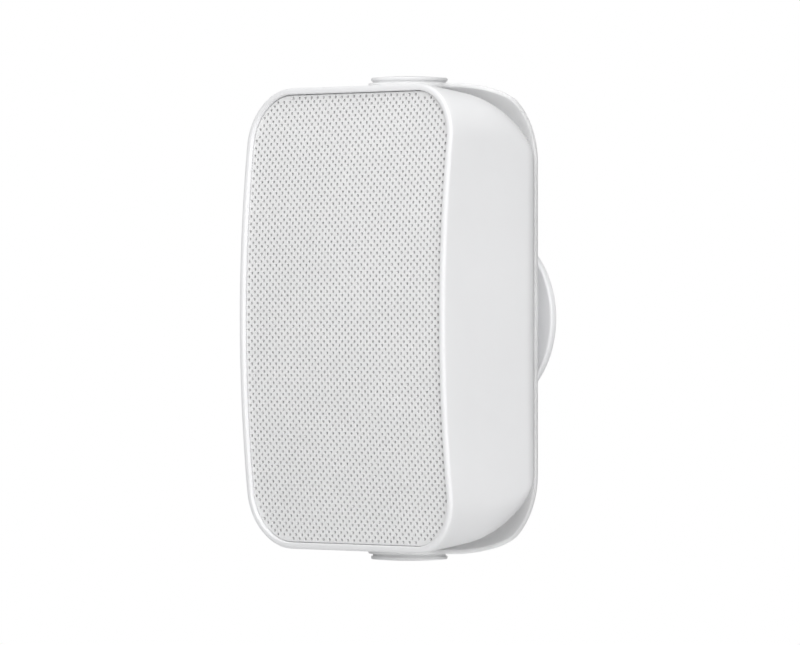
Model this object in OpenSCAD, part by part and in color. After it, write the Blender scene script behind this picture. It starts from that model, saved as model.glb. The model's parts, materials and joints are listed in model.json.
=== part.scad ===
// Surface-mount two-way loudspeaker on a C-shaped swivel bracket.
// Frame: the origin is the centre of the wall plate's back face, which lies
// on the wall. +Y points into the wall, so the grille faces -Y; +Z is up.
// Depths called yf are measured from the plane of the front rim's two ends.

/* [Cabinet] */
// Width across the front rim, mm
body_w = 194; // [192:1:198]
// Height across the front rim, mm
body_h = 305; // [303:1:309]
// Depth from the rim's ends to the flat back, mm
body_d = 95; // [94:0.5:97]
// Width where the sides' taper would reach the back, mm
rear_w = 166; // [163:1:168]
// How far the middle of the front stands out before its ends, mm
front_bow = 12; // [9:0.5:12]
// Corner radius of the front outline, mm
corner_r = 37; // [35:1:39]
// Width of the front rim round the grille, mm
rim_w = 4.6; // [4.2:0.1:5]
// How far the grille lies behind the rim, mm
grille_set = 2.4; // [1.6:0.2:2.6]
// Radius that rolls the sides into the back, mm
side_roll_r = 20.6; // [18:0.2:24]
// Radius that rolls the top and bottom into the back, mm
end_roll_r = 66.4; // [62:0.2:70]
// Moulded wall thickness, mm
wall_t = 3.2; // [2.8:0.1:3.6]

/* [Bracket] */
// Distance from the rim's ends to the wall, mm
wall_d = 130; // [128:1:134]
// Thickness of the bent strap, mm
strap_t = 3; // [2.5:0.5:3]
// Half width of the strap at the back, mm
strap_hw = 54; // [50:1:55]
// Outer bend radius of the strap's two corners, mm
bend_r = 52; // [46:1:54]
// Height of an arm's outer face above the middle, mm
arm_z = 155.1; // [154.9:0.1:156]
// Depth of the swivel axis from the rim's ends, mm
pivot_yf = 52; // [50:1:54]
// Radius of the round arm ends, mm
arm_end_r = 27; // [25:0.5:28]
// Radius of the snap caps over the pivot bolts, mm
cap_r = 25.2; // [24:0.2:25.6]

/* [Wall plate] */
// Radius of the round wall plate, mm
plate_r = 60; // [58:1:62]
// Thickness of its rim, mm
plate_t = 5.3; // [5:0.1:6]
// Radius of the hub behind the bracket, mm
hub_r = 35; // [33:1:36]
// Circle that the four wall screws lie on, mm
screw_pcd = 92; // [90:1:94]
// Diameter of the wall screw holes, mm
screw_d = 5.2; // [4.5:0.1:5.5]

/* [Drivers] */
// Height of the woofer's centre, mm
woofer_z = -45; // [-46:0.5:-44]
// Height of the tweeter's centre, mm
tweeter_z = 90; // [89:0.5:92]
// Outer radius of the woofer frame, mm
woofer_r = 83; // [82:0.5:83]
// Radius of the tweeter faceplate, mm
tweeter_r = 37.5; // [36:0.5:38]

/* [Terminals] */
// Height of the terminal cup's centre, mm
cup_z = 54; // [53:0.5:55]
// Half distance between the two terminals, mm
post_x = 13; // [12:0.5:14]

/* [Hidden] */

$fn = 96;
e = 0.01;

hw = body_w / 2;
hh = body_h / 2;
bow_r = (hh * hh + front_bow * front_bow) / (2 * front_bow);
side_t = (hw - rear_w / 2) / body_d;   // slope of the sides
end_t = 0.14;                          // slope of the top and bottom
rear_corner_r = 19;
arm_in = arm_z - strap_t;
boss_z = arm_in - 2.2;                 // top of the moulded pivot boss
back_yf = body_d;
inner_yf = body_d - wall_t;
strap_in_yf = wall_d - 11.5 - strap_t; // inner face of the strap's back
baffle_yf = 8;
ledge_yf = 19;

white_body = [0.93, 0.935, 0.94];
white_metal = [0.92, 0.925, 0.93];
dark = [0.13, 0.13, 0.14];
steel_c = [0.62, 0.63, 0.64];
brass_c = [0.78, 0.63, 0.32];

// --- helpers -------------------------------------------------------------

// Local +Z becomes +Y, measured from the rim's ends: local z is yf.
module on_y(z0 = 0, x0 = 0)
  translate([x0, -wall_d, z0]) rotate([-90, 0, 0]) children();

// Half size of the cabinet at depth y: a straight taper that rolls into the
// back on a circle of radius rc; w insets it by a wall thickness.
function half_at(y, h0, t, rc, w = 0) =
  let (yc = body_d - rc, s = sqrt(1 + t * t), c = h0 - t * yc - rc * s)
  y < yc + (rc - w) * t / s ? h0 - t * y - w * s
    : c + sqrt(max(0, pow(rc - w, 2) - pow(y - yc, 2)));
function half_w(y, w = 0) = half_at(y, hw, side_t, side_roll_r, w);
function half_h(y, w = 0) = half_at(y, hh, end_t, end_roll_r, w);
function section_r(y, w = 0) =
  let (yy = max(0, y), tuck = 0.5 * ((hw - side_t * yy - half_w(yy))
       + (hh - end_t * yy - half_h(yy))))
  max(4 - w / 2, corner_r + (rear_corner_r - corner_r) * yy / body_d - 0.8 * tuck - w);
// Set-back of the bowed front at height z, 0 at the rim's ends.
function bow_at(z) = -front_bow + bow_r - sqrt(bow_r * bow_r - z * z);

// Right half of a rounded rectangle, from the top down.
function half_outline(a, b, r, k, m) = concat(
  [for (i = [0:k]) let (q = 90 - 90 * i / k) [a - r + r * cos(q), b - r + r * sin(q)]],
  [for (i = [1:m - 1]) [a, (b - r) * (1 - 2 * i / m)]],
  [for (i = [0:k]) let (q = -90 * i / k) [a - r + r * cos(q), -(b - r) + r * sin(q)]]);

// Loft through sections [yf, half width, half height, corner radius, bow].
module loft(secs, k, m) {
  n = 2 * k + m + 1;
  pts = [for (s = secs) let (o = half_outline(s[1], s[2], s[3], k, m))
    each concat([for (p = o) [p[0], -wall_d + s[0] + s[4] * bow_at(p[1]), p[1]]],
                [for (p = o) [-p[0], -wall_d + s[0] + s[4] * bow_at(p[1]), p[1]]])];
  last = (len(secs) - 1) * 2 * n;
  quads = concat(
    [for (i = [0:n - 2]) [i, i + 1, n + i + 1, n + i]],
    [for (i = [0:n - 2]) [last + n + i, last + n + i + 1, last + i + 1, last + i]],
    [for (j = [0:len(secs) - 2]) let (p = j * 2 * n, q = p + 2 * n)
      each concat(
        [for (i = [0:n - 2]) [p + i, q + i, q + i + 1, p + i + 1]],
        [for (i = [0:n - 2]) [p + n + i, p + n + i + 1, q + n + i + 1, q + n + i]],
        [[p + n, q + n, q, p]],
        [[p + n - 1, q + n - 1, q + 2 * n - 1, p + 2 * n - 1]])]);
  polyhedron(pts, [for (f = quads) each [[f[0], f[1], f[2]], [f[0], f[2], f[3]]]]);
}

// Rounded rectangle standing in the X-Z plane, from depth y0 to y1.
module slab(a, b, r, y0, y1, z0 = 0)
  on_y(z0) translate([0, 0, y0]) linear_extrude(y1 - y0) rounded(a, b, r);
module rounded(a, b, r) {
  square([2 * a, 2 * (b - r)], center = true);
  square([2 * (a - r), 2 * b], center = true);
  for (x = [-1, 1], z = [-1, 1]) translate([x * (a - r), z * (b - r)]) circle(r);
}
// Solid between two distances inside the bowed front's surface.
module bow_shell(d0, d1) translate([-200, -wall_d - front_bow + bow_r, 0])
  rotate([0, 90, 0]) difference() {
    cylinder(h = 400, r = bow_r - d0, $fn = 1080);
    translate([0, 0, -1]) cylinder(h = 402, r = bow_r - d1, $fn = 1080);
  }
// Ring of rectangular section on the woofer or tweeter axis.
module ring(z0, r0, r1, y0, y1) on_y(z0) translate([0, 0, y0]) difference() {
  cylinder(h = y1 - y0, r = r1);
  translate([0, 0, -1]) cylinder(h = y1 - y0 + 2, r = r0);
}
module rod(x0, z0, r, y0, y1) on_y(z0, x0) translate([0, 0, y0]) cylinder(h = y1 - y0, r = r);
// Pan-head screw whose head's underside is at yf and which points inwards.
module screw(x0, z0, yf, head_r, head_h, r, len) {
  difference() {
    rod(x0, z0, head_r, yf - head_h, yf);
    rod(x0, z0, head_r * 0.42, yf - head_h - 1, yf - head_h * 0.45, $fn = 6);
  }
  rod(x0, z0, r, yf - e, yf + len);
}
// Tube through path points with the given section polygon.
function unit(v) = v / norm(v);
module sweep(path, sec) {
  n = len(path);
  k = len(sec);
  tan = [for (i = [0:n - 1]) unit(path[min(n - 1, i + 1)] - path[max(0, i - 1)])];
  pts = [for (i = [0:n - 1]) let (u = unit(cross(tan[i], [1, 0.02, 0.03])), v = cross(tan[i], u))
    for (s = sec) path[i] + u * s[1] + v * s[0]];
  polyhedron(pts, concat(
    [for (j = [1:k - 2]) [0, j, j + 1]],
    [for (j = [1:k - 2]) [(n - 1) * k, (n - 1) * k + j + 1, (n - 1) * k + j]],
    [for (i = [0:n - 2], j = [0:k - 1]) let (p = i * k, q = p + k, j2 = (j + 1) % k)
      each [[p + j, q + j, q + j2], [p + j, q + j2, p + j2]]]));
}
// Twin flex: two round cores side by side, as one outline.
function twin_outline(r, d) = concat(
  [for (q = [-120:40:120]) [d + r * cos(q), r * sin(q)]],
  [for (q = [60:40:300]) [-d + r * cos(q), r * sin(q)]]);
function smooth(a, b, ta, tb, n) = [for (i = [0:n]) let (s = i / n)
  a * (2 * pow(s, 3) - 3 * s * s + 1) + ta * (pow(s, 3) - 2 * s * s + s)
  + b * (3 * s * s - 2 * pow(s, 3)) + tb * (pow(s, 3) - s * s)];

// --- wall plate and its pivot --------------------------------------------

module wall_plate() color(white_metal) difference() {
  rotate([90, 0, 0]) rotate_extrude() polygon(concat(
    [[0, 0], [plate_r, 0]],
    [for (q = [0:15:90]) [plate_r - 1.5 + 1.5 * cos(q), plate_t - 1.5 + 1.5 * sin(q)]],
    [for (q = [0:15:90]) [hub_r + 3 - 3 * sin(q), plate_t + 3 - 3 * cos(q)]],
    [[hub_r, 10.7], [hub_r - 0.8, 11.5], [10, 11.5], [10, 14.6], [0, 14.6]]));
  // hollow underside of the hub
  rotate([90, 0, 0]) translate([0, 0, -1]) difference() {
    cylinder(h = 8.5, r = hub_r - 4);
    cylinder(h = 8.5, r = 12);
  }
  rotate([90, 0, 0]) translate([0, 0, 1.8]) cylinder(h = 20, r = 3.05);
  for (q = [45:90:315]) rotate([90, 0, 0]) rotate([0, 0, q]) translate([screw_pcd / 2, 0, -1]) {
    cylinder(h = 10, r = screw_d / 2);
    translate([0, 0, plate_t + 1 - 2.2]) cylinder(h = 2.2 + e, r1 = screw_d / 2, r2 = screw_d / 2 + 2.2);
    translate([0, 0, plate_t + 1]) cylinder(h = 2, r = screw_d / 2 + 2.2);
  }
}
module bracket_washer() color(steel_c) rotate([90, 0, 0]) translate([0, 0, 14.6]) difference() {
  cylinder(h = 2, r = 17);
  translate([0, 0, -1]) cylinder(h = 4, r = 3.2);
}
module bracket_bolt() color(steel_c) rotate([90, 0, 0]) difference() {
  union() {
    translate([0, 0, 16.6]) cylinder(h = 4, r = 5.2);
    translate([0, 0, 2]) cylinder(h = 14.7, r = 3);
  }
  translate([0, 0, 18.2]) cylinder(h = 4, r = 2.3, $fn = 6);
}

// --- bracket -------------------------------------------------------------

// C profile in the Y-Z plane, as [yf, z] points.
function bend(r, z0) = [for (q = [90:-3:0]) [wall_d - 11.5 - bend_r + r * cos(q), z0 + r * sin(q)]];
strap_c = let (o = bend(bend_r, arm_z - bend_r), i = bend(bend_r - strap_t, arm_z - bend_r))
  concat([[10, arm_z]], o, [for (k = [len(o) - 1:-1:0]) [o[k][0], -o[k][1]]], [[10, -arm_z], [10, -arm_in]],
    [for (p = i) [p[0], -p[1]]], [for (k = [len(i) - 1:-1:0]) i[k]], [[10, arm_in]]);
strap_plan = concat([for (q = [-90:6:12]) [arm_end_r * cos(q), pivot_yf + arm_end_r * sin(q)]],
  [for (p = smooth([arm_end_r * cos(12), pivot_yf + arm_end_r * sin(12)], [strap_hw, 99], [-6, 30], [0, 34], 10)) p],
  [[strap_hw, 125]]);
module bracket() color(white_metal) difference() {
  intersection() {
    // bent strap, drawn in Y-Z and run across X
    translate([-80, -wall_d, 0]) rotate([90, 0, 90]) linear_extrude(160) polygon(strap_c);
    // plan of the strap: parallel at the back, shoulders, round ends
    translate([0, -wall_d, -200]) linear_extrude(400) polygon(concat(strap_plan,
      [for (k = [len(strap_plan) - 1:-1:1]) [-strap_plan[k][0], strap_plan[k][1]]]));
  }
  // running bore on the wall plate's spigot
  rod(0, 0, 10.05, 110, 125);
  // running bores for the two shoulder bolts, and the caps' peg holes
  translate([0, pivot_yf - wall_d, -200]) cylinder(h = 400, r = 5.05);
  for (q = [30:120:270]) translate([0, pivot_yf - wall_d, -200]) rotate([0, 0, q])
    translate([17.5, 0, 0]) cylinder(h = 400, r = 1.6);
  // window behind the terminals
  slab(31, 17, 6, 105, 125, cup_z + 1);
}
module pivot_cap() color(white_body) translate([0, pivot_yf - wall_d, 0]) {
  rotate_extrude() polygon(concat(
    [[22, arm_z], [cap_r - 1.2, arm_z], [cap_r - 1.2, arm_z + 1.5], [cap_r, arm_z + 1.5]],
    [for (q = [0:15:90]) [cap_r - 1 + cos(q), arm_z + 2.5 + 1.05 * sin(q)]],
    [for (i = [1:8]) let (r = (cap_r - 1) * (1 - i / 8))
      [r, arm_z + 3.55 + 1.05 * (1 - pow(r / (cap_r - 1), 2))]],
    [[0, arm_z + 3.2], [10, arm_z + 3.1], [22, arm_z + 2.2]]));
  for (q = [30:120:270]) rotate([0, 0, q]) translate([17.5, 0, arm_z - 2.6])
    cylinder(h = 5.6, r = 1.6);
}
module pivot_cap_top() pivot_cap();
module pivot_cap_bottom() color(white_body) mirror([0, 0, 1]) pivot_cap();

// --- swivel pivots -------------------------------------------------------

module pivot_insert() color(brass_c) translate([0, pivot_yf - wall_d, 0]) difference() {
  translate([0, 0, boss_z - 18]) cylinder(h = 18, r = 6);
  translate([0, 0, boss_z - 19]) cylinder(h = 20, r = 3.05);
}
module pivot_bolt() color(steel_c) translate([0, pivot_yf - wall_d, 0]) difference() {
  union() {
    translate([0, 0, boss_z - 16]) cylinder(h = 17, r = 3);
    translate([0, 0, boss_z]) cylinder(h = arm_z + 0.05 - boss_z, r = 5);
    translate([0, 0, arm_z + 0.05]) cylinder(h = 1.9, r = 9);
  }
  translate([0, 0, arm_z - 0.6]) cylinder(h = 5, r = 2.9, $fn = 6);
}
module pivot_washer() color(dark) translate([0, pivot_yf - wall_d, 0]) difference() {
  translate([0, 0, boss_z]) cylinder(h = arm_in - boss_z, r = 13);
  translate([0, 0, boss_z - 1]) cylinder(h = 6, r = 5.1);
}
module pivot_insert_top() pivot_insert();
module pivot_insert_bottom() color(brass_c) mirror([0, 0, 1]) pivot_insert();
module pivot_bolt_top() pivot_bolt();
module pivot_bolt_bottom() color(steel_c) mirror([0, 0, 1]) pivot_bolt();
module pivot_washer_top() pivot_washer();
module pivot_washer_bottom() color(dark) mirror([0, 0, 1]) pivot_washer();

// --- cabinet -------------------------------------------------------------

baffle_screw_at = [for (x = [-1, 1], z = [-1, 1]) [x * 72, z * 122],
  [-80, 45], [80, 45], [0, 135], [0, -135]];
cup_screw_at = [for (x = [-1, 1], z = [-1, 1]) [x * 34.5, cup_z + z * 21.5]];

module cabinet_outer() loft([for (y = [0, 16, 30, 42, 52, 61, 69, 76, 82, 87, 91, 93.6, 94.7, 95])
  let (d = y * body_d / 95) [d, half_w(d), half_h(d), section_r(d), 1 - d / body_d]], 7, 8);
module cabinet_inner() loft(concat(
  [for (y = [-30, 0, 8]) [y, hw - rim_w, hh - rim_w, corner_r - rim_w, 0]],
  [for (y = [24, 40, 54, 66, 76, 84, 89, 91.2, inner_yf])
    [y, half_w(y, wall_t), half_h(y, wall_t), section_r(y, wall_t), 0]]), 10, 2);
// What stands inside the hollow shell: the baffle's ledge, its screw
// pillars with webs, the two pivot bosses and the terminal screws' bosses.
module cabinet_inside() {
  difference() {
    slab(hw, hh, corner_r, ledge_yf, ledge_yf + 4);
    slab(hw - 11.8, hh - 11.6, corner_r - 11, ledge_yf - 1, ledge_yf + 5);
  }
  for (p = baffle_screw_at) {
    rod(p[0], p[1], 4.4, 18, 40);
    if (abs(p[0]) > 1) translate([p[0] > 0 ? p[0] : p[0] - 30, 21 - wall_d, p[1] - 1.25]) cube([30, 18, 2.5]);
    else translate([-1.25, 21 - wall_d, p[1] > 0 ? p[1] : p[1] - 30]) cube([2.5, 18, 30]);
  }
  for (s = [-1, 1]) translate([0, pivot_yf - wall_d, s > 0 ? boss_z - 24 : -boss_z]) cylinder(h = 24, r = 14);
  for (p = cup_screw_at) rod(p[0], p[1], 4, 83, 94);
}
module cabinet() color(white_body) difference() {
  union() {
    difference() {
      cabinet_outer();
      difference() { cabinet_inner(); cabinet_inside(); }
    }
    // pivot bosses that stand out of the rolled top and bottom
    for (s = [-1, 1]) translate([0, pivot_yf - wall_d, s > 0 ? boss_z - 10 : -boss_z]) cylinder(h = 10, r = 14);
  }
  for (s = [-1, 1]) translate([0, pivot_yf - wall_d, s > 0 ? boss_z - 20 : -boss_z - e]) cylinder(h = 20 + e, r = 6);
  for (p = baffle_screw_at) rod(p[0], p[1], 1.65, 17, 34);
  for (p = cup_screw_at) rod(p[0], p[1], 1.65, 85, 97);
  slab(29, 18, 4, 88, 100, cup_z);
}

// --- grille and baffle ---------------------------------------------------

module grille() color([0.88, 0.88, 0.88]) {
  w = rim_w + 0.3;
  intersection() {
    slab(hw - w, hh - w, corner_r - w, -20, 7);
    bow_shell(grille_set, grille_set + 1.2);
  }
  intersection() {
    difference() {
      slab(hw - w, hh - w, corner_r - w, -20, baffle_yf);
      slab(hw - w - 1.2, hh - w - 1.2, corner_r - w - 1.2, -21, baffle_yf + 1);
    }
    bow_shell(grille_set, 40);
  }
}
module grille_scrim() color([0.8, 0.8, 0.8]) intersection() {
  slab(hw - rim_w - 1.8, hh - rim_w - 1.8, corner_r - rim_w - 1.8, -20, 7);
  bow_shell(grille_set + 1.21, grille_set + 1.9);
}
module baffle() color(dark) difference() {
  slab(hw - 6.5, hh - 6.5, corner_r - 5.5, baffle_yf, 18);
  rod(0, woofer_z, woofer_r + 0.4, baffle_yf - 1, 11);
  rod(0, woofer_z, 73.4, 5, 20);
  rod(0, tweeter_z, tweeter_r + 0.1, baffle_yf - 1, 11);
  rod(0, tweeter_z, 27, 5, 20);
  for (p = baffle_screw_at) { rod(p[0], p[1], 2.1, 5, 20); rod(p[0], p[1], 4.4, 7, 12); }
  for (p = woofer_screw_at) rod(p[0], p[1], 2.05, 5, 20);
  for (p = tweeter_screw_at) rod(p[0], p[1], 1.55, 5, 20);
}
module baffle_gasket() color([0.08, 0.08, 0.08]) difference() {
  slab(hw - 7, hh - 7, corner_r - 6, 18, ledge_yf);
  slab(hw - 12, hh - 12, corner_r - 11, 17, ledge_yf + 1);
}
module baffle_screws() color(dark) for (p = baffle_screw_at) screw(p[0], p[1], 12, 4, 2.6, 1.6, 20);

// --- woofer --------------------------------------------------------------

woofer_screw_at = [for (q = [0:60:300]) [78.4 * sin(q + 30), woofer_z + 78.4 * cos(q + 30)]];
module woofer_frame() color([0.16, 0.16, 0.17]) difference() {
  on_y(woofer_z) rotate_extrude() union() {
    translate([70.5, 8]) square([woofer_r - 70.5, 2]);
    translate([70.5, 9]) square([1.5, 12]);
    polygon([[70.5, 21], [72, 21], [48, 42], [46.4, 42]]);
    translate([40, 42]) square([8, 1.4]);
    translate([44.6, 43]) square([1.4, 7.5]);
    translate([20, 49]) square([26, 1.5]);
  }
  // six openings between the basket's arms
  for (q = [0:60:300]) on_y(woofer_z) rotate([0, 0, q]) translate([50, -21, 23.5]) cube([40, 42, 15]);
  for (p = woofer_screw_at) rod(p[0], p[1], 2.05, 5, 12);
}
module woofer_gasket() color([0.08, 0.08, 0.08]) difference() {
  ring(woofer_z, 73.6, woofer_r, 10, 11);
  for (p = woofer_screw_at) rod(p[0], p[1], 2.05, 5, 12);
}
module woofer_screws() color(dark) for (p = woofer_screw_at) screw(p[0], p[1], 8, 4, 2.4, 2, 13);
// Half-roll rubber surround between the frame and the cone.
module woofer_surround() color([0.07, 0.07, 0.07]) on_y(woofer_z) rotate_extrude()
  polygon(concat([[74.2, 8], [74.2, 7.4]],
    [for (q = [0:12:180]) [66.2 + 5.6 * cos(q), 7.4 - 5 * sin(q)]],
    [[56.8, 7.4], [56.8, 8]],
    [for (q = [180:-12:0]) [66.2 + 5 * cos(q), 8 - 5 * sin(q)]]));
module woofer_cone() color([0.2, 0.2, 0.21]) on_y(woofer_z) rotate_extrude()
  polygon([[60.2, 8], [60.2, 8.8], [58.4, 8.9], [13.4, 35.2], [13.4, 34], [57.4, 8]]);
module woofer_dust_cap() color([0.12, 0.12, 0.13]) on_y(woofer_z) rotate_extrude()
  polygon(concat([for (i = [0:10]) let (r = 20 * (1 - i / 10)) [r, 21.5 + 8 * pow(r / 20, 2)]],
    [for (i = [0:10]) let (r = 19.4 * i / 10) [r, 22.1 + 8 * pow(r / 20, 2)]]));
module woofer_voice_coil() color([0.72, 0.42, 0.2]) on_y(woofer_z) rotate_extrude() union() {
  translate([12.9, 33.5]) square([0.5, 27.5]);
  translate([13.3, 47]) square([0.6, 12]);
}
// Corrugated suspension between the voice coil and the frame.
module woofer_spider() color([0.72, 0.55, 0.25]) on_y(woofer_z) rotate_extrude()
  polygon(concat(
    [for (i = [0:48]) let (r = 13.42 + 32 * i / 48) [r, 41.4 - (r > 40.4 ? 0 : 1.6 * pow(sin((r - 13.42) * 40), 2))]],
    [for (i = [48:-1:0]) let (r = 13.42 + 32 * i / 48) [r, 41.95 - (r > 40.4 ? 0 : 1.6 * pow(sin((r - 13.42) * 40), 2))]]));
module woofer_top_plate() color(steel_c) ring(woofer_z, 14.6, 44, 50.5, 56.5);
module woofer_magnet() color([0.2, 0.2, 0.21]) ring(woofer_z, 22, 45, 56.5, 72);
module woofer_back_plate() color(steel_c) difference() {
  on_y(woofer_z) rotate_extrude() polygon([[4, 50.5], [11.9, 50.5], [11.9, 72], [44, 72], [44, 76.5], [42.5, 78], [4, 78]]);
}
module woofer_tag_strip() color([0.55, 0.4, 0.25]) {
  translate([-12, 43.4 - wall_d, woofer_z + 46.3]) cube([24, 5, 1.6]);
  for (x = [-1.8, 1.8]) translate([x - 1.5, 44.6 - wall_d, woofer_z + 47]) cube([3, 0.8, 7.6]);
}

// --- tweeter -------------------------------------------------------------

tweeter_screw_at = [for (q = [45:90:315]) [31.5 * sin(q), tweeter_z + 31.5 * cos(q)]];
module tweeter_faceplate() color([0.15, 0.15, 0.16]) difference() {
  on_y(tweeter_z) rotate_extrude() polygon([[17.2, 11], [17.2, 10.2], [19.5, 9.2], [24, 8.3], [29, 8],
    [tweeter_r, 8], [tweeter_r, 11]]);
  for (p = tweeter_screw_at) { rod(p[0], p[1], 1.7, 5, 12); rod(p[0], p[1], 3.1, 5, 9.4); }
}
module tweeter_screws() color(dark) for (p = tweeter_screw_at) screw(p[0], p[1], 9.4, 2.9, 1.4, 1.5, 12);
// One formed dome with its roll, its flat rim and the coil former.
module tweeter_dome() color([0.3, 0.3, 0.32]) on_y(tweeter_z) rotate_extrude() union() {
  polygon(concat([for (i = [0:8]) let (r = 13.3 * i / 8) [r, 7.6 + 3.4 * pow(r / 13.3, 2)]],
    [[13.3, 18], [12.9, 18], [12.9, 11.2]],
    [for (i = [8:-1:0]) let (r = 12.9 * i / 8) [r, 8 + 3.4 * pow(r / 12.9, 2)]]));
  polygon(concat([[13.2, 11.5]], [for (q = [180:-20:0]) [15 + 1.75 * cos(q), 11.1 - 1.75 * sin(q)]],
    [[16.9, 11], [21, 11], [21, 11.5], [16.4, 11.5]],
    [for (q = [20:20:160]) [15 + 1.35 * cos(q), 11.3 - 1.35 * sin(q)]], [[13.6, 11.5]]));
}
module tweeter_top_plate() color(steel_c) ring(tweeter_z, 13.9, 25.5, 11.5, 15);
module tweeter_magnet() color([0.2, 0.2, 0.21]) ring(tweeter_z, 17, 25, 15, 25);
module tweeter_yoke() color(steel_c) on_y(tweeter_z) rotate_extrude()
  polygon([[0, 13], [12, 13], [12, 25], [25, 25], [25, 28.4], [24, 29.4], [0, 29.4]]);

// --- terminals -----------------------------------------------------------

module terminal_cup() color(dark) difference() {
  union() {
    slab(39, 26, 6, 96, 98, cup_z);
    slab(28.6, 17.6, 4, 81, 97, cup_z);
  }
  slab(26.6, 15.6, 3, 83, 99, cup_z);
  for (x = [-1, 1]) rod(x * post_x, cup_z, 3.05, 80, 84);
  for (p = cup_screw_at) rod(p[0], p[1], 1.9, 95, 99);
}
module terminal_gasket() color([0.08, 0.08, 0.08]) difference() {
  slab(39, 26, 6, back_yf, 96, cup_z);
  slab(29.2, 18.2, 4, back_yf - 1, 97, cup_z);
  for (p = cup_screw_at) rod(p[0], p[1], 1.9, 94, 97);
}
module terminal_screws() color(steel_c) for (p = cup_screw_at) {
  difference() {
    rod(p[0], p[1], 3.4, 98, 100);
    rod(p[0], p[1], 1.5, 99, 101, $fn = 6);
  }
  rod(p[0], p[1], 1.6, 87, 98 + e);
}
module nut(x0, y0) difference() {
  rod(x0, cup_z, 5, y0, y0 + 3, $fn = 6);
  rod(x0, cup_z, 3.02, y0 - 1, y0 + 4);
}
module terminal_nuts() color(brass_c) for (x = [-1, 1], y = [78, 71.6, 67]) nut(x * post_x, y);
// Tube post with a side hole for the bare wire, and a stud behind it.
module post() color(brass_c) difference() {
  union() { rod(0, 0, 6, 83, 95); rod(0, 0, 3, 65.5, 83 + e); }
  rod(0, 0, 4.05, 84.2, 96);
  translate([0, 89.2 - wall_d, -10]) cylinder(h = 20, r = 1.5);
}
module collar(c) color(c) difference() {
  on_y() rotate_extrude() polygon([[3.05, 95], [3.05, 97], [6.6, 97], [7.3, 96.3], [7.3, 91.4], [6, 91.4], [6, 95]]);
  for (q = [0:30:330]) on_y() rotate([0, 0, q]) translate([8, 0, 91]) cylinder(h = 7, r = 1.1);
}
module plunger(c) color(c) difference() {
  on_y() rotate_extrude() polygon([[0, 87.4], [4, 87.4], [4, 95], [3, 95], [3, 101.5], [5.5, 101.5],
    [5.5, 103.8], [4.9, 104.4], [0, 104.4]]);
  translate([0, 92.2 - wall_d, -10]) cylinder(h = 20, r = 1.5);
}
// Spring of two and a half turns between the collar and the push cap.
module spring() color(steel_c) let (turns = 2.5, n = 50, rw = 0.25)
  sweep([for (i = [0:n]) let (q = 360 * turns * i / n, y = 97.3 + 3.9 * i / n)
    [4.2 * cos(q), y - wall_d, 4.2 * sin(q)]], [for (q = [0:60:300]) rw * [cos(q), sin(q)]]);
module at_post(s) translate([s * post_x, 0, cup_z]) children();
module terminal_post_red() at_post(-1) post();
module terminal_post_black() at_post(1) post();
module terminal_collar_red() at_post(-1) collar([0.7, 0.08, 0.08]);
module terminal_collar_black() at_post(1) collar([0.06, 0.06, 0.06]);
module terminal_plunger_red() at_post(-1) plunger([0.7, 0.08, 0.08]);
module terminal_plunger_black() at_post(1) plunger([0.06, 0.06, 0.06]);
module terminal_spring_red() at_post(-1) spring();
module terminal_spring_black() at_post(1) spring();

// --- crossover, wadding and leads ----------------------------------------

module crossover_board() color([0.12, 0.35, 0.2]) difference() {
  translate([-48, 70 - wall_d, 24]) cube([96, 1.6, 58]);
  for (x = [-1, 1]) rod(x * post_x, cup_z, 3.05, 68, 73);
}
module crossover_coil_large() color([0.75, 0.4, 0.2]) on_y(40, -33) difference() {
  translate([0, 0, 57]) cylinder(h = 13, r = 14.5);
  translate([0, 0, 50]) cylinder(h = 30, r = 6);
}
module crossover_coil_small() color([0.75, 0.4, 0.2]) on_y(38, 34) difference() {
  translate([0, 0, 60]) cylinder(h = 10, r = 11);
  translate([0, 0, 55]) cylinder(h = 20, r = 4.5);
}
module capacitor(x0, z0, r, l) translate([x0, 70 - r - wall_d, z0]) rotate([0, 90, 0]) cylinder(h = l, r = r);
module crossover_capacitor_large() color([0.7, 0.6, 0.15]) capacitor(-44, 68, 7, 30);
module crossover_capacitor_small() color([0.7, 0.6, 0.15]) capacitor(22, 73, 5, 22);
module crossover_resistor() color([0.85, 0.85, 0.8]) translate([22, 61 - wall_d, 55]) cube([22, 9, 9]);
module damping_pad() color([0.85, 0.85, 0.82]) slab(50, 28, 8, 79.9, inner_yf, -50);
module woofer_lead() color([0.1, 0.1, 0.1]) sweep(concat([[0, 45 - wall_d, woofer_z + 54.6]],
  smooth([0, 45 - wall_d, woofer_z + 56.6], [0, 68 - wall_d, 32], [0, 0, 22], [0, 24, 0], 12),
  [[0, 70 - wall_d, 32]]), twin_outline(1.1, 1));
module tweeter_lead() color([0.1, 0.1, 0.1]) sweep(concat([[0, 29.4 - wall_d, tweeter_z - 4]],
  smooth([0, 31.4 - wall_d, tweeter_z - 4], [0, 68 - wall_d, 74], [0, 40, -8], [0, 30, 0], 12),
  [[0, 70 - wall_d, 74]]), twin_outline(1.1, 1));

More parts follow.
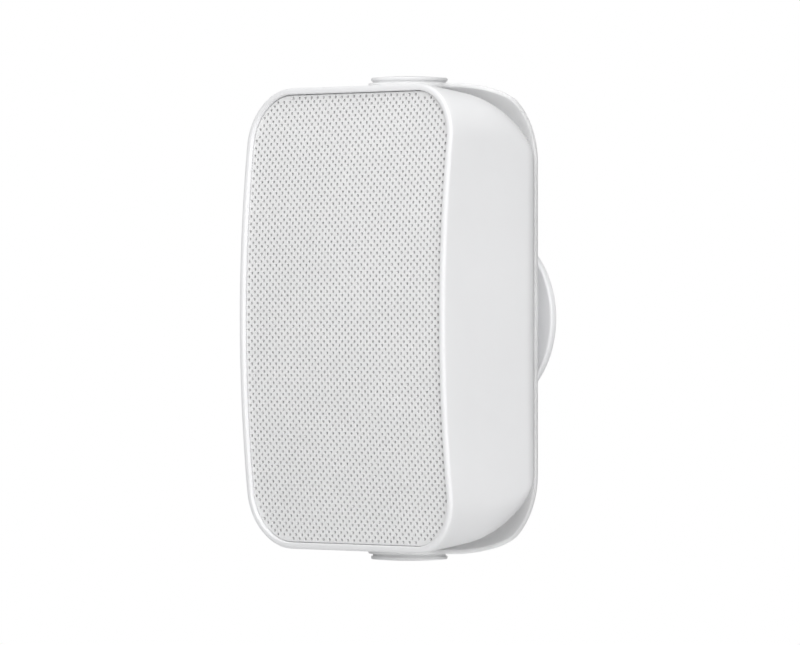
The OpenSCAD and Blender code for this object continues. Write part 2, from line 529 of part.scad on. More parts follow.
wall_plate();
bracket_washer();
bracket_bolt();
bracket();
pivot_cap_top();
pivot_cap_bottom();
cabinet();
pivot_insert_top();
pivot_insert_bottom();
pivot_bolt_top();
pivot_bolt_bottom();
pivot_washer_top();
pivot_washer_bottom();
grille();
grille_scrim();
baffle();
baffle_gasket();
baffle_screws();
woofer_frame();
woofer_gasket();
woofer_screws();
woofer_surround();
woofer_spider();
woofer_top_plate();
woofer_magnet();
woofer_back_plate();
woofer_tag_strip();
woofer_cone();
woofer_dust_cap();
woofer_voice_coil();
tweeter_faceplate();
tweeter_screws();
tweeter_dome();
tweeter_top_plate();
tweeter_magnet();
tweeter_yoke();
terminal_cup();
terminal_gasket();
terminal_screws();
terminal_nuts();
terminal_post_red();
terminal_post_black();
terminal_collar_red();
terminal_collar_black();
terminal_spring_red();
terminal_spring_black();
terminal_plunger_red();
terminal_plunger_black();
crossover_board();
crossover_coil_large();
crossover_coil_small();
crossover_capacitor_large();
crossover_capacitor_small();
crossover_resistor();
damping_pad();
woofer_lead();
tweeter_lead();
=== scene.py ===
import json
import math

import bmesh
import bpy
import numpy as np
from mathutils import Matrix, Vector
from mathutils.geometry import delaunay_2d_cdt


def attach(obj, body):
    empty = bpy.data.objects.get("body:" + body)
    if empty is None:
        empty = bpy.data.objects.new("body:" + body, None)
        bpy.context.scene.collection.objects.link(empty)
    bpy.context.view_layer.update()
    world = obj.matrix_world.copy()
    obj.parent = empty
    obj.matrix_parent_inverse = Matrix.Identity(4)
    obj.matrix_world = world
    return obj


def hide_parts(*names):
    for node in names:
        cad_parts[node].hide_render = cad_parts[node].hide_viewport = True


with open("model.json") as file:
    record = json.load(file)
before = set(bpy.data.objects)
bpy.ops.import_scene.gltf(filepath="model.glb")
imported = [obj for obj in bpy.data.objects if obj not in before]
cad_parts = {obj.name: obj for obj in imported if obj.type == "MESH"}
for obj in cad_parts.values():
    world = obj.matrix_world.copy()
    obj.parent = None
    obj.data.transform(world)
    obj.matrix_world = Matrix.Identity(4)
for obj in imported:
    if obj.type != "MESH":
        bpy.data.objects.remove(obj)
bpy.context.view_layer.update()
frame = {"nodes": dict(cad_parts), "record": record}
MM = 0.001

# ---------------------------------------------------------------- dimensions
# Millimetres. Depths (yf) count from the plane of the front rim's two ends;
# the wall is at yf 130, so y = yf - 130 in the row frame.
WALL, HW, HH, DEEP = 130.0, 97.0, 152.5, 95.0
BOW, T_SIDE, T_END = 12.0, 14.0 / 95.0, 0.14
R_SIDE, R_END, R_FRONT, R_REAR = 20.6, 66.4, 37.0, 19.0
RIM, SET = 4.6, 2.4
BOW_R = (HH * HH + BOW * BOW) / (2 * BOW)
PIVOT, ARM_Z, STRAP_T, STRAP_HW, BEND_R, ARM_R = 52.0, 155.1, 3.0, 54.0, 52.0, 27.0
BOSS_Z = ARM_Z - STRAP_T - 2.2
CAP_R, PLATE_R, PLATE_T, HUB_R = 25.2, 60.0, 5.3, 35.0
CUP_Z = 54.0


def half_at(y, h0, t, rc, w=0.0):
    yc, s = DEEP - rc, math.sqrt(1 + t * t)
    c = h0 - t * yc - rc * s
    if y < yc + (rc - w) * t / s:
        return h0 - t * y - w * s
    return c + math.sqrt(max(0.0, (rc - w) ** 2 - (y - yc) ** 2))


def half_w(y, w=0.0):
    return half_at(y, HW, T_SIDE, R_SIDE, w)


def half_h(y, w=0.0):
    return half_at(y, HH, T_END, R_END, w)


def section_r(y, w=0.0):
    y = max(0.0, y)
    tuck = 0.5 * ((HW - T_SIDE * y - half_w(y)) + (HH - T_END * y - half_h(y)))
    return max(4 - w / 2, R_FRONT + (R_REAR - R_FRONT) * y / DEEP - 0.8 * tuck - w)


def bow(z):
    return -BOW + BOW_R - np.sqrt(BOW_R * BOW_R - z * z)


def outline(a, b, r, kc=14, ks=22, kt=12, cx=0.0, cz=0.0):
    """Rounded rectangle in X-Z, anticlockwise seen from the front, the same number of points for any size."""
    pts = []
    corners = [(a - r, b - r, 0), (-(a - r), b - r, 90), (-(a - r), -(b - r), 180), (a - r, -(b - r), 270)]
    for n, (x, z, q0) in enumerate(corners):
        for i in range(kc + 1):
            q = math.radians(q0 + 90 * i / kc)
            pts.append((x + r * math.cos(q), z + r * math.sin(q)))
        x2, z2, q2 = corners[(n + 1) % 4]
        p = pts[-1]
        e = (x2 + r * math.cos(math.radians(q2)), z2 + r * math.sin(math.radians(q2)))
        k = kt if n % 2 == 0 else ks
        for i in range(1, k):
            pts.append((p[0] + (e[0] - p[0]) * i / k, p[1] + (e[1] - p[1]) * i / k))
    return np.array(pts) + np.array([cx, cz])


# ------------------------------------------------------------------- helpers
def finish_mesh(obj, angle=38.0):
    me = obj.data
    me.update()
    for p in me.polygons:
        p.use_smooth = True
    me.set_sharp_from_angle(angle=math.radians(angle))


def make(name, verts, faces, angle=38.0):
    me = bpy.data.meshes.new(name)
    me.from_pydata([(x * MM, (y - WALL) * MM, z * MM) for x, y, z in verts], [], [tuple(int(i) for i in f) for f in faces])
    me.validate()
    obj = bpy.data.objects.new(name, me)
    bpy.context.scene.collection.objects.link(obj)
    bm = bmesh.new()
    bm.from_mesh(me)
    bmesh.ops.recalc_face_normals(bm, faces=bm.faces)
    bm.to_mesh(me)
    bm.free()
    finish_mesh(obj, angle)
    return obj


def strips(rings, loop=False):
    """Quads between rings of equal length; with loop the last ring joins the first."""
    n = len(rings[0])
    faces = []
    for j in range(len(rings) if loop else len(rings) - 1):
        a, b = j * n, ((j + 1) % len(rings)) * n
        for i in range(n):
            k = (i + 1) % n
            faces.append((a + i, a + k, b + k, b + i))
    return np.concatenate(rings), faces


def lathe(profile, centre, axis, seg=96):
    """Solid of revolution: profile is [(r, h)], h along axis ('y', '-y' or 'z') from centre (x, yf, z)."""
    verts, faces, rows = [], [], []
    cx, cy, cz = centre
    for r, h in profile:
        row = []
        for i in range(1 if r < 1e-6 else seg):
            q = 2 * math.pi * i / seg
            u, v = r * math.cos(q), r * math.sin(q)
            p = {"y": (cx + u, cy + h, cz + v), "-y": (cx + u, cy - h, cz + v), "z": (cx + u, cy + v, cz + h), "-z": (cx + u, cy + v, cz - h)}[axis]
            row.append(len(verts))
            verts.append(p)
        rows.append(row)
    for a, b in zip(rows, rows[1:]):
        for i in range(seg):
            k = (i + 1) % seg
            if len(a) == 1 and len(b) == 1:
                continue
            if len(a) == 1:
                faces.append((a[0], b[i], b[k]))
            elif len(b) == 1:
                faces.append((a[i], a[k], b[0]))
            else:
                faces.append((a[i], a[k], b[k], b[i]))
    return verts, faces


def arc(cx, cy, r, q0, q1, n):
    return [(cx + r * math.cos(math.radians(q0 + (q1 - q0) * i / n)), cy + r * math.sin(math.radians(q0 + (q1 - q0) * i / n))) for i in range(n + 1)]


def boolean(obj, other, op):
    m = obj.modifiers.new("cut", "BOOLEAN")
    m.operation, m.object, m.solver = op, other, "EXACT"
    dg = bpy.context.evaluated_depsgraph_get()
    me = bpy.data.meshes.new_from_object(obj.evaluated_get(dg))
    obj.modifiers.clear()
    old = obj.data
    obj.data = me
    bpy.data.meshes.remove(old)
    om = other.data
    bpy.data.objects.remove(other)
    bpy.data.meshes.remove(om)
    finish_mesh(obj)
    return obj


def grown(poly, d):
    """A closed outline moved along its outward normals by d; poly runs anticlockwise."""
    p = np.asarray(poly, float)
    t = np.roll(p, -1, 0) - np.roll(p, 1, 0)
    t /= np.linalg.norm(t, axis=1)[:, None]
    return p + d * np.stack([t[:, 1], -t[:, 0]], 1)


def inside(pts, poly):
    x, y = pts[:, 0], pts[:, 1]
    r = np.zeros(len(pts), bool)
    p = np.asarray(poly)
    for (x1, y1), (x2, y2) in zip(p, np.roll(p, -1, 0)):
        c = (y1 > y) != (y2 > y)
        with np.errstate(divide="ignore", invalid="ignore"):
            r ^= c & (x < (x2 - x1) * (y - y1) / (y2 - y1) + x1)
    return r


def fill(outer, holes, extra, convex_holes=True):
    """Triangles between an outline and its holes: (points, triangles, first index of each loop)."""
    loops = [np.asarray(outer)] + [np.asarray(h) for h in holes]
    starts, ids, edges, n = [], [], [], 0
    for k, l in enumerate(loops):
        starts.append(n)
        edges += [(n + i, n + (i + 1) % len(l)) for i in range(len(l))]
        ids += [k] * len(l)
        n += len(l)
    pts = np.concatenate(loops + ([np.asarray(extra)] if len(extra) else []))
    ids = np.array(ids + [-1] * (len(pts) - n))
    res = delaunay_2d_cdt([Vector(p) for p in pts], edges, [], 0, 1e-5)
    back = np.array([o[0] if o else -1 for o in res[3]])
    tris = np.array([f for f in res[2] if len(f) == 3])
    assert (back >= 0).all() and len(back) == len(pts)
    tris = back[tris]
    same = (ids[tris[:, 0]] == ids[tris[:, 1]]) & (ids[tris[:, 1]] == ids[tris[:, 2]]) & (ids[tris[:, 0]] > 0)
    keep = ~same
    mid = pts[tris].mean(1)
    idx = np.where(keep)[0]
    ok = inside(mid[idx], outer)
    keep[idx[~ok]] = False
    return pts, tris[keep], starts


def plate(outer, holes, extra, thick, r, mapping, seg=3):
    """A sheet with rounded edges cut from a plan outline and bent by mapping(plan points, height)."""
    half = thick / 2
    steps = [(r * (1 - math.sin(q)), half - r * (1 - math.cos(q))) for q in [math.pi / 2 * i / seg for i in range(seg + 1)]]
    # steps run from the flat's edge (inset r, full height) to the side (inset 0, half - r)
    o_in = grown(outer, -r)
    h_in = [grown(h, r) for h in holes]
    pts, tris, starts = fill(o_in, h_in, extra)
    verts = [mapping(pts, half), mapping(pts, -half)]
    faces = [(a, b, c) for a, b, c in tris] + [(c + len(pts), b + len(pts), a + len(pts)) for a, b, c in tris]
    base = 2 * len(pts)
    loops = [np.asarray(outer)] + [np.asarray(h) for h in holes]
    for k, loop in enumerate(loops):
        n, sign = len(loop), (-1 if k == 0 else 1)
        rows = [np.arange(n) + starts[k]]
        for side in (1, -1):
            order = steps[1:] if side == 1 else steps[::-1][:-1]
            for d, h in order:
                verts.append(mapping(grown(loop, sign * d), side * h))
                rows.append(np.arange(n) + base)
                base += n
        rows.append(np.arange(n) + starts[k] + len(pts))
        for a, b in zip(rows, rows[1:]):
            for i in range(n):
                j = (i + 1) % n
                faces.append((a[i], b[i], b[j], a[j]))
    return np.concatenate(verts), faces


# ----------------------------------------------------------------- materials
def nodes_of(name):
    m = bpy.data.materials.new(name)
    m.use_nodes = True
    nt = m.node_tree
    b = nt.nodes["Principled BSDF"]
    return m, nt, b


def link(nt, a, b):
    nt.links.new(a, b)


def tex_noise(nt, co, scale, detail=4.0, rough=0.55):
    n = nt.nodes.new("ShaderNodeTexNoise")
    n.inputs["Scale"].default_value = scale
    n.inputs["Detail"].default_value = detail
    n.inputs["Roughness"].default_value = rough
    link(nt, co, n.inputs["Vector"])
    return n.outputs["Fac"]


def ramp(nt, fac, lo, hi, a=0.3, b=0.7):
    r = nt.nodes.new("ShaderNodeValToRGB")
    r.color_ramp.elements[0].position, r.color_ramp.elements[1].position = a, b
    r.color_ramp.elements[0].color, r.color_ramp.elements[1].color = (*lo, 1), (*hi, 1)
    link(nt, fac, r.inputs["Fac"])
    return r.outputs["Color"]


def maprange(nt, fac, lo, hi):
    m = nt.nodes.new("ShaderNodeMapRange")
    m.inputs["From Min"].default_value, m.inputs["From Max"].default_value = 0.3, 0.7
    m.inputs["To Min"].default_value, m.inputs["To Max"].default_value = lo, hi
    link(nt, fac, m.inputs["Value"])
    return m.outputs["Result"]


def bump(nt, height, strength, dist, prev=None):
    b = nt.nodes.new("ShaderNodeBump")
    b.inputs["Strength"].default_value, b.inputs["Distance"].default_value = strength, dist
    link(nt, height, b.inputs["Height"])
    if prev is not None:
        link(nt, prev, b.inputs["Normal"])
    return b.outputs["Normal"]


def coat(name, lo, hi, rough, grain, grain_depth, peel=None, peel_depth=0.0, metallic=0.0, spec=0.5, tint=60.0, sheen=None, depth=None):
    """Paint, plastic, rubber and the like: soft tone drift, roughness drift, fine grain and, for paint, a broader peel."""
    m, nt, b = nodes_of(name)
    co = nt.nodes.new("ShaderNodeTexCoord").outputs["Object"]
    link(nt, ramp(nt, tex_noise(nt, co, tint), lo, hi), b.inputs["Base Color"])
    link(nt, maprange(nt, tex_noise(nt, co, 220.0), rough[0], rough[1]), b.inputs["Roughness"])
    nrm = bump(nt, tex_noise(nt, co, grain, 2.0), 0.35, grain_depth)
    if peel:
        nrm = bump(nt, tex_noise(nt, co, peel, 1.0), 0.25, peel_depth, nrm)
    link(nt, nrm, b.inputs["Normal"])
    b.inputs["Metallic"].default_value = metallic
    b.inputs["Specular IOR Level"].default_value = spec
    if sheen:
        b.inputs["Sheen Weight"].default_value = sheen
    if depth:
        b.inputs["Subsurface Weight"].default_value = 1.0
        b.inputs["Subsurface Radius"].default_value = (1.0, 1.0, 1.0)
        b.inputs["Subsurface Scale"].default_value = depth
    return m


def cloth(name, lo, hi, pitch, depth, sheen=0.2):
    """Woven cloth: two crossed wave sets in the sheet's plane."""
    m, nt, b = nodes_of(name)
    co = nt.nodes.new("ShaderNodeTexCoord").outputs["Object"]
    waves = []
    for axis in ("X", "Z"):
        w = nt.nodes.new("ShaderNodeTexWave")
        w.bands_direction = axis
        w.inputs["Scale"].default_value = 1.0 / pitch / 2.0 / 1.592 * 2.0
        w.inputs["Distortion"].default_value = 0.6
        link(nt, co, w.inputs["Vector"])
        waves.append(w.outputs["Fac"])
    mx = nt.nodes.new("ShaderNodeMath")
    mx.operation = "MAXIMUM"
    link(nt, waves[0], mx.inputs[0])
    link(nt, waves[1], mx.inputs[1])
    link(nt, ramp(nt, mx.outputs[0], lo, hi, 0.2, 0.9), b.inputs["Base Color"])
    link(nt, bump(nt, mx.outputs[0], 0.5, depth), b.inputs["Normal"])
    b.inputs["Roughness"].default_value = 0.9
    b.inputs["Sheen Weight"].default_value = sheen
    return m


def metal(name, lo, hi, rough, stretch=(1, 1, 30), scale=260.0, depth=0.00003):
    """Turned, drawn or plated metal with fine lines along one way."""
    m, nt, b = nodes_of(name)
    co = nt.nodes.new("ShaderNodeTexCoord").outputs["Object"]
    mp = nt.nodes.new("ShaderNodeMapping")
    mp.inputs["Scale"].default_value = stretch
    link(nt, co, mp.inputs["Vector"])
    f = tex_noise(nt, mp.outputs["Vector"], scale, 3.0)
    link(nt, ramp(nt, f, lo, hi), b.inputs["Base Color"])
    link(nt, maprange(nt, f, rough[0], rough[1]), b.inputs["Roughness"])
    link(nt, bump(nt, f, 0.3, depth), b.inputs["Normal"])
    b.inputs["Metallic"].default_value = 1.0
    return m


def g(v, d=0.0):
    return (v, v, v + d)


W0, W1 = (0.864, 0.866, 0.874), (0.890, 0.892, 0.899)
MATS = {
    "cabinet_white": coat("cabinet_white", W0, W1, (0.40, 0.52), 2600.0, 0.00004, 420.0, 0.00003, spec=0.4, tint=14.0),
    "cap_white": coat("cap_white", (0.785, 0.787, 0.793), (0.815, 0.817, 0.822), (0.36, 0.46), 2600.0, 0.00003, spec=0.45, tint=30.0),
    "bracket_white": coat("bracket_white", (0.855, 0.857, 0.863), (0.882, 0.884, 0.889), (0.38, 0.5), 1500.0, 0.00005, 500.0, 0.00006, spec=0.45, tint=18.0, depth=0.010),
    "plate_white": coat("plate_white", (0.855, 0.858, 0.868), (0.88, 0.883, 0.892), (0.4, 0.52), 1500.0, 0.00005, 500.0, 0.00006, spec=0.45, tint=18.0),
    "grille_white": coat("grille_white", (0.872, 0.872, 0.874), (0.896, 0.896, 0.897), (0.42, 0.55), 1800.0, 0.00004, spec=0.4, tint=25.0),
    "scrim_grey": cloth("scrim_grey", (0.42, 0.42, 0.422), (0.58, 0.58, 0.582), 0.0007, 0.0001),
    "black_plastic": coat("black_plastic", g(0.018), g(0.028), (0.45, 0.6), 1800.0, 0.00008, spec=0.4),
    "black_gloss": coat("black_gloss", g(0.012), g(0.018), (0.22, 0.32), 900.0, 0.00002, spec=0.5),
    "red_plastic": coat("red_plastic", (0.42, 0.012, 0.012), (0.5, 0.018, 0.016), (0.22, 0.32), 900.0, 0.00002, spec=0.5),
    "black_rubber": coat("black_rubber", g(0.012), g(0.022), (0.7, 0.85), 2200.0, 0.0001, spec=0.3),
    "surround_rubber": coat("surround_rubber", g(0.015), g(0.022), (0.5, 0.62), 1400.0, 0.00003, spec=0.35),
    "black_steel": coat("black_steel", g(0.02), g(0.03), (0.35, 0.48), 1200.0, 0.00005, spec=0.5, metallic=0.2),
    "steel": metal("steel", (0.50, 0.51, 0.52), (0.62, 0.63, 0.64), (0.24, 0.38)),
    "brass": metal("brass", (0.62, 0.46, 0.18), (0.75, 0.58, 0.27), (0.2, 0.34)),
    "copper": metal("copper", (0.46, 0.19, 0.08), (0.66, 0.31, 0.16), (0.3, 0.45), stretch=(1, 40, 1), scale=60.0, depth=0.0001),
    "ferrite": coat("ferrite", g(0.03), g(0.06), (0.55, 0.7), 900.0, 0.0001, spec=0.4),
    "cone": coat("cone", g(0.03), g(0.045), (0.4, 0.55), 700.0, 0.00008, spec=0.4),
    "dome_silk": cloth("dome_silk", g(0.03), g(0.06), 0.0004, 0.00004, 0.3),
    "spider_cloth": cloth("spider_cloth", (0.34, 0.22, 0.08), (0.52, 0.38, 0.16), 0.0008, 0.0001),
    "tag_board": coat("tag_board", (0.2, 0.11, 0.05), (0.32, 0.2, 0.1), (0.5, 0.65), 900.0, 0.00005),
    "board_green": coat("board_green", (0.015, 0.11, 0.045), (0.03, 0.17, 0.07), (0.25, 0.38), 1100.0, 0.00003, tint=120.0),
    "film_yellow": coat("film_yellow", (0.5, 0.34, 0.05), (0.62, 0.45, 0.09), (0.2, 0.3), 500.0, 0.00003),
    "ceramic": coat("ceramic", (0.66, 0.65, 0.6), (0.76, 0.75, 0.71), (0.6, 0.75), 1500.0, 0.0001, spec=0.3),
    "wadding": coat("wadding", (0.66, 0.66, 0.63), (0.84, 0.84, 0.82), (0.9, 1.0), 500.0, 0.001, spec=0.1, sheen=0.4),
    "lead_pvc": coat("lead_pvc", g(0.02), g(0.035), (0.35, 0.5), 900.0, 0.00003),
}
slot_of = {s["node"]: s["material_slot"] for s in frame["record"]["subparts"]}
for name, obj in frame["nodes"].items():
    mat = MATS[slot_of[name]]
    if not obj.material_slots:
        obj.data.materials.append(mat)
    for s in obj.material_slots:
        s.material = mat


def dress(obj, body, slot, *nodes):
    obj.data.materials.clear()
    obj.data.materials.append(MATS[slot])
    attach(obj, body)
    if nodes:
        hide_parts(*nodes)
    return obj


# ------------------------------------------------------------------- cabinet
def cup_point(px, pz, a, b, r):
    """Where the ray from the cup's centre through (px, pz) meets a rounded rectangle."""
    dx, dz = px, pz - CUP_Z
    lo, hi = 0.0, 1.0
    for _ in range(40):
        k = (lo + hi) / 2
        qx, qz = abs(dx * k) - (a - r), abs(dz * k) - (b - r)
        d = math.hypot(max(qx, 0), max(qz, 0)) + min(max(qx, qz), 0) - r
        lo, hi = (k, hi) if d < 0 else (lo, k)
    return dx * lo, CUP_Z + dz * lo


def cabinet():
    rings = []

    def ring(y, a, b, r, fade):
        o = outline(a, b, r)
        rings.append(np.stack([o[:, 0], y + fade * bow(o[:, 1]), o[:, 1]], 1))

    # inner wall, from the back forward to the lip
    for y in (91.8, 90.6, 87, 80, 70, 58, 44, 30, 19):
        ring(y, half_w(y, 3.2), half_h(y, 3.2), section_r(y, 3.2), 0)
    ring(8.0, HW - RIM, HH - RIM, R_FRONT - RIM, 0)
    ring(4.5, HW - RIM, HH - RIM, R_FRONT - RIM, 0.45)
    # lip: a small inner round, a narrow flat and a fuller outer round
    ri, ro = 0.8, 2.3
    for i in range(5):
        q = math.radians(90 * i / 4)
        d = RIM - ri * (1 - math.cos(q))
        ring(ri * (1 - math.sin(q)), HW - d, HH - d, R_FRONT - d, 1)
    for i in range(8):
        q = math.radians(90 * i / 7)
        d, s = ro * (1 - math.sin(q)), ro * (1 - math.cos(q))
        ring(s, half_w(s) - d, half_h(s) - d, R_FRONT - d, 1 - s / DEEP)
    # outer wall and the rolled back
    ys = [3.2, 5.5, 9, 13, 18, 23, 28, 33, 38, 42, 46, 50, 54, 58, 62, 65, 68, 71, 73.5, 76, 78, 80, 82, 83.8, 85.4, 86.9, 88.3, 89.5, 90.6, 91.6, 92.5, 93.2, 93.8, 94.3, 94.65, 94.88, 95.0]
    for y in ys:
        ring(y, half_w(y), half_h(y), section_r(y), 1 - y / DEEP)
    last = rings[-1]
    for k in (0.12, 0.35, 0.65, 1.0):
        row = []
        for x, y, z in last:
            cx, cz = cup_point(x, z, 29.0, 18.0, 4.0)
            row.append((x + (cx - x) * k, 95.0, z + (cz - z) * k))
        rings.append(np.array(row))
    hole = rings[-1].copy()
    hole[:, 1] = 91.8
    rings.append(hole)
    v, f = strips(rings, loop=True)
    obj = make("cabinet_shell", v, f)
    for s in (1, -1):
        prof = [(0, -12)] + [(21, -12), (19.5, -8.5)] + arc(19.8, -1.6, 5.0, 245, 182, 6) + arc(13.2, -0.8, 0.8, 0, 90, 5) + [(6.0, 0)] + [(5.9, -6), (0, -6)]
        v, f = lathe(prof, (0, PIVOT, s * BOSS_Z), "z" if s > 0 else "-z", 72)
        boolean(obj, make("boss", v, f), "UNION")
    return dress(obj, "cabinet", "cabinet_white", "cabinet")


# -------------------------------------------------------------------- grille
HOLE_R, PITCH_X, PITCH_Z = 1.14, 5.78, 2.505


def grille():
    a, b, r = HW - RIM - 0.3, HH - RIM - 0.3, R_FRONT - RIM - 0.3
    edge = 0.9
    front = outline(a - edge, b - edge, r - edge, 18, 84, 36)
    holes = []
    nx, nz = int(a / PITCH_X) + 2, int(b / PITCH_Z) + 1
    m = HOLE_R + edge + 0.15
    k = 10
    turn = [math.pi * (2 * i + 1) / k for i in range(k)]
    for j in range(-nz, nz + 1):
        for i in range(-nx, nx + 1):
            x, z = i * PITCH_X + (j % 2) * PITCH_X / 2, j * PITCH_Z
            qx, qz = abs(x) - (a - r), abs(z) - (b - r)
            d = math.hypot(max(qx, 0), max(qz, 0)) + min(max(qx, qz), 0) - r
            if d < -m:
                holes.append([(x + HOLE_R * math.cos(q), z + HOLE_R * math.sin(q)) for q in turn])
    pts, tris, starts = fill(front, holes, [])
    n0 = len(pts)
    y0, y1 = SET, SET + 1.2
    top = np.stack([pts[:, 0], bow(pts[:, 1]) + y0, pts[:, 1]], 1)
    low = top + np.array([0, y1 - y0, 0])
    verts = [top, low]
    faces = [tuple(t) for t in tris] + [(c + n0, b_ + n0, a_ + n0) for a_, b_, c in tris]
    for s in starts[1:]:
        for i in range(k):
            j = (i + 1) % k
            faces.append((s + i, s + i + n0, s + j + n0, s + j))
    # rounded edge, then the flange back to the baffle
    base, rows = 2 * n0, [np.arange(len(front))]
    for q in (22.5, 45, 67.5, 90):
        d, h = edge * (1 - math.sin(math.radians(q))), edge * (1 - math.cos(math.radians(q)))
        o = outline(a - d, b - d, r - d, 18, 84, 36)
        verts.append(np.stack([o[:, 0], bow(o[:, 1]) + y0 + h, o[:, 1]], 1))
        rows.append(np.arange(len(o)) + base)
        base += len(o)
    for o in (outline(a, b, r, 18, 84, 36), outline(a - edge, b - edge, r - edge, 18, 84, 36)):
        verts.append(np.stack([o[:, 0], np.full(len(o), 7.98), o[:, 1]], 1))
        rows.append(np.arange(len(o)) + base)
        base += len(o)
    rows.append(np.arange(len(front)) + n0)
    for p, q in zip(rows, rows[1:]):
        for i in range(len(p)):
            j = (i + 1) % len(p)
            faces.append((p[i], q[i], q[j], p[j]))
    obj = make("grille_sheet", np.concatenate(verts), faces, 50)
    return dress(obj, "cabinet", "grille_white", "grille")


# ------------------------------------------------------------------- bracket
def strap():
    mid_r, cy, cz = BEND_R - STRAP_T / 2, WALL - 11.5 - BEND_R, ARM_Z - BEND_R
    back = WALL - 11.5 - STRAP_T / 2
    s1 = cz
    s2 = cz + mid_r * math.pi / 2

    def s_of(yf):
        if yf <= cy:
            return s2 + (cy - yf)
        return s1 + mid_r * (math.pi / 2 - math.asin(min(1, (yf - cy) / mid_r)))

    def mapping(p, h):
        s, x = np.abs(p[:, 0]), p[:, 1]
        sg = np.where(p[:, 0] < 0, -1.0, 1.0)
        y, z = np.full(len(s), back + h), s.copy()
        m = (s > s1) & (s <= s2)
        q = (s[m] - s1) / mid_r
        y[m], z[m] = cy + (mid_r + h) * np.cos(q), cz + (mid_r + h) * np.sin(q)
        m = s > s2
        y[m], z[m] = cy - (s[m] - s2), cz + mid_r + h
        return np.stack([x, y, z * sg], 1)

    # plan of one arm, from the round end back to where the strap is parallel
    arm = [(ARM_R * math.cos(math.radians(q)), PIVOT + ARM_R * math.sin(math.radians(q))) for q in range(-90, 12, 4)]
    a = np.array([ARM_R * math.cos(math.radians(12)), PIVOT + ARM_R * math.sin(math.radians(12))])
    b, ta, tb = np.array([STRAP_HW, 99.0]), np.array([-6.0, 30.0]), np.array([0.0, 34.0])
    for i in range(0, 21):
        s = i / 20
        arm.append(tuple(a * (2 * s**3 - 3 * s * s + 1) + ta * (s**3 - 2 * s * s + s) + b * (3 * s * s - 2 * s**3) + tb * (s**3 - s * s)))
    half = [(s_of(y), x) for x, y in arm]
    e = half[-1][0]
    half += [(e * (1 - i / 30), STRAP_HW) for i in range(1, 30)]
    right = half + [(0.0, STRAP_HW)] + [(-s, x) for s, x in half[::-1]]
    # right runs from the top end down the +X side to the bottom end
    loop = right + [(s, -x) for s, x in right[::-1][1:-1]]
    loop = np.array(loop)
    if np.sum(loop[:, 0] * np.roll(loop[:, 1], -1) - np.roll(loop[:, 0], -1) * loop[:, 1]) < 0:
        loop = loop[::-1]

    def circle(s, r, n=64):
        return [(s + r * math.cos(2 * math.pi * i / n), r * math.sin(2 * math.pi * i / n)) for i in range(n)]

    win = [(z, x) for x, z in outline(31, 17, 6, 8, 8, 14)]
    win = np.array(win)[::-1] + np.array([CUP_Z + 1, 0])
    sp = s_of(PIVOT)
    holes = [win, circle(0, 10.05), circle(sp, 5.05, 40), circle(-sp, 5.05, 40)]
    gs, gx = np.meshgrid(np.arange(-225, 226, 3.0), np.arange(-48, 49, 6.0))
    extra = np.stack([gs.ravel() + gx.ravel() * 0.0002, gx.ravel()], 1)
    keep = inside(extra, grown(loop, -2.5))
    for h in holes:
        keep &= ~inside(extra, grown(h, 2.0))
    extra = extra[keep]
    v, f = plate(loop, holes, extra, STRAP_T, 0.7, mapping)
    obj = make("bracket_strap", v, f, 45)
    return dress(obj, "bracket", "bracket_white", "bracket")


def pivot_cap(name, node, axis, sign):
    prof = [(0, 3.1), (10, 3.0), (18, 2.5), (21.5, 1.9), (22, 1.4), (22, 0.0), (22.3, 0.0)]
    prof += [(23.7, 0.0), (24.0, 0.25), (24.0, 1.35), (24.3, 1.5)]
    prof += arc(CAP_R - 0.35, 1.85, 0.35, -90, 0, 4) + [(CAP_R, 2.5)]
    prof += arc(CAP_R - 1.0, 2.6, 1.0, 0, 78, 8)
    r1 = prof[-1][0]
    prof += [(r1 * (1 - i / 14), 3.58 + 1.0 * (1 - (1 - i / 14) ** 2)) for i in range(1, 15)]
    v, f = lathe(prof, (0, PIVOT, sign * ARM_Z), axis, 128)
    obj = make(name, v, f, 40)
    return dress(obj, "bracket", "cap_white", node)


def wall_plate():
    prof = [(0, 0), (12, 0), (12, 7.2), (12.5, 7.5), (30.5, 7.5), (31, 7.2), (31, 0.4), (31.4, 0.0), (58.9, 0.0)]
    prof += arc(58.9 + 0.0, 0.8, 0.8, -90, -10, 4)
    prof += arc(PLATE_R - 1.6, PLATE_T - 1.6, 1.6, -2, 90, 8)
    prof += [(54, PLATE_T), (48, PLATE_T), (42, PLATE_T)]
    prof += [(HUB_R + 3.4 - 3.4 * math.sin(math.radians(q)), PLATE_T + 3.4 - 3.4 * math.cos(math.radians(q))) for q in range(0, 91, 10)]
    prof += [(HUB_R, 10.7)] + arc(HUB_R - 0.8, 10.7, 0.8, 0, 90, 4) + [(10.2, 11.5), (10.0, 11.7), (10.0, 14.3), (9.7, 14.6), (3.05, 14.6), (3.05, 1.8), (0, 1.8)]
    v, f = lathe(prof, (0, WALL, 0), "-y", 128)
    obj = make("wall_plate_disc", v, f, 40)
    for q in (45, 135, 225, 315):
        x, z = 46 * math.cos(math.radians(q)), 46 * math.sin(math.radians(q))
        cut = [(0, -1), (2.6, -1), (2.6, PLATE_T - 2.2), (4.8, PLATE_T), (5.1, PLATE_T + 0.3), (5.1, 9), (0, 9)]
        v, f = lathe(cut, (x, WALL, z), "-y", 40)
        boolean(obj, make("cut", v, f), "DIFFERENCE")
    return dress(obj, "wall", "plate_white", "wall_plate")


cabinet()
grille()
strap()
pivot_cap("cap_top", "pivot_cap_top", "z", 1)
pivot_cap("cap_bottom", "pivot_cap_bottom", "-z", -1)
wall_plate()

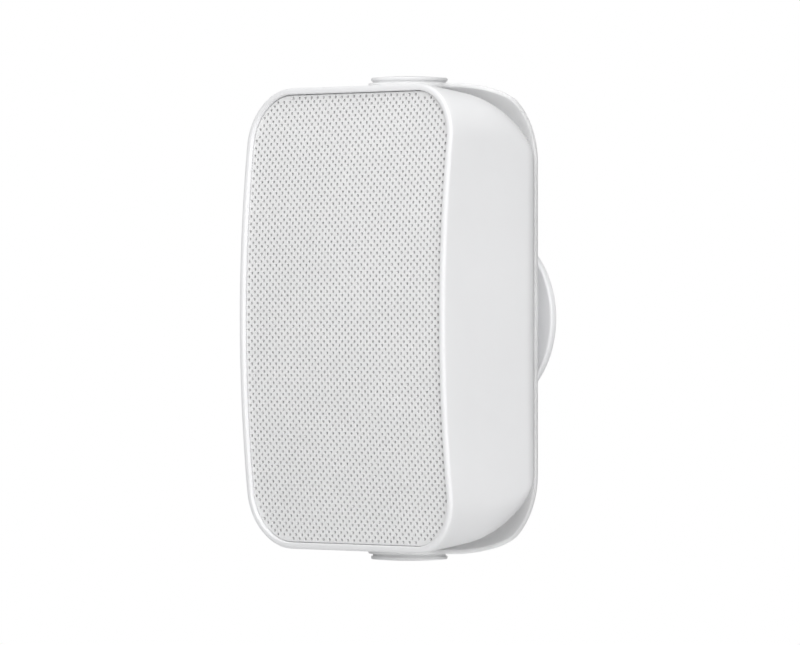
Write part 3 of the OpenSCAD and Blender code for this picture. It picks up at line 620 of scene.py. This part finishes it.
# --------------------------------------------------------- floor, light, lens
floor_me = bpy.data.meshes.new("floor")
ring_n = 96
floor_me.from_pydata([(1.5 * math.cos(2 * math.pi * i / ring_n), 1.5 * math.sin(2 * math.pi * i / ring_n), -0.9) for i in range(ring_n)], [], [tuple(range(ring_n))])
floor = bpy.data.objects.new("floor", floor_me)
bpy.context.scene.collection.objects.link(floor)
fm, fnt, fb = nodes_of("floor_pale")
fco = fnt.nodes.new("ShaderNodeTexCoord").outputs["Object"]
link(fnt, ramp(fnt, tex_noise(fnt, fco, 3.0), (0.86, 0.86, 0.86), (0.88, 0.88, 0.88)), fb.inputs["Base Color"])
fb.inputs["Roughness"].default_value = 0.9
floor_me.materials.append(fm)

world = bpy.data.worlds.new("studio")
bpy.context.scene.world = world
world.use_nodes = True
wn = world.node_tree
bg = wn.nodes["Background"]
out = wn.nodes["World Output"]
lp = wn.nodes.new("ShaderNodeLightPath")
bg2 = wn.nodes.new("ShaderNodeBackground")
mix = wn.nodes.new("ShaderNodeMixShader")
bg.inputs["Color"].default_value = (0.995, 0.997, 1.0, 1)
wco, wsep, wmap = (wn.nodes.new(t) for t in ("ShaderNodeTexCoord", "ShaderNodeSeparateXYZ", "ShaderNodeMapRange"))
wmap.inputs["From Min"].default_value, wmap.inputs["From Max"].default_value = -0.2, 1.0
wmap.inputs["To Min"].default_value, wmap.inputs["To Max"].default_value = 0.0, 0.60
wn.links.new(wco.outputs["Generated"], wsep.inputs["Vector"])
wn.links.new(wsep.outputs["Z"], wmap.inputs["Value"])
wn.links.new(wmap.outputs["Result"], bg.inputs["Strength"])
bg2.inputs["Color"].default_value, bg2.inputs["Strength"].default_value = (1, 1, 1, 1), 1.0
wn.links.new(lp.outputs["Is Camera Ray"], mix.inputs["Fac"])
wn.links.new(bg.outputs["Background"], mix.inputs[1])
wn.links.new(bg2.outputs["Background"], mix.inputs[2])
wn.links.new(mix.outputs["Shader"], out.inputs["Surface"])


def area(name, at, to, size, power, color=(1, 1, 1)):
    l = bpy.data.lights.new(name, "AREA")
    l.shape, l.size, l.size_y, l.energy, l.color = "RECTANGLE", size[0], size[1], power, color
    o = bpy.data.objects.new(name, l)
    bpy.context.scene.collection.objects.link(o)
    o.location = at
    o.rotation_mode = "QUATERNION"
    o.rotation_quaternion = (Vector(to) - Vector(at)).to_track_quat("-Z", "Y")
    return o


def softbox(name, azimuth, elevation, dist, size, power, color=(1, 1, 1)):
    a, e = math.radians(azimuth), math.radians(elevation)
    at = (math.sin(a) * math.cos(e) * dist, -math.cos(a) * math.cos(e) * dist - 0.08, math.sin(e) * dist)
    area(name, at, (0, -0.08, 0), (size, size), power, color)


softbox("overhead", 0, 80, 2.4, 1.8, 11.0)
softbox("high", 46, 24, 2.6, 1.4, 26.5)
softbox("front_left", -32, 10, 2.6, 1.4, 15.5)
softbox("right", 66, -4, 2.6, 1.4, 10.5)
softbox("right_low", 78, -28, 2.6, 1.4, 21.0)
softbox("right_high", 70, 55, 2.5, 1.5, 12.0)

AZ, DIST, FOCAL_PX = math.radians(46.2), 4.3, 6570.4
back_v = Vector((math.sin(AZ), -math.cos(AZ), 0))
right_v = Vector((math.cos(AZ), math.sin(AZ), 0))
cam_d = bpy.data.cameras.new("camera")
cam = bpy.data.objects.new("camera", cam_d)
bpy.context.scene.collection.objects.link(cam)
cam_d.sensor_width, cam_d.lens = 36.0, FOCAL_PX * 36.0 / 800.0
cam.location = Vector((0, -WALL * MM, 0)) + back_v * DIST
aim = -back_v + right_v * ((400 - 352.49) / FOCAL_PX) + Vector((0, 0, -1)) * ((322.5 - 318.5) / FOCAL_PX)
cam.rotation_mode = "QUATERNION"
cam.rotation_quaternion = aim.to_track_quat("-Z", "Y")
cam_d.clip_start, cam_d.clip_end = 0.1, 50.0
bpy.context.scene.camera = cam
bpy.context.scene.view_settings.view_transform = "Standard"
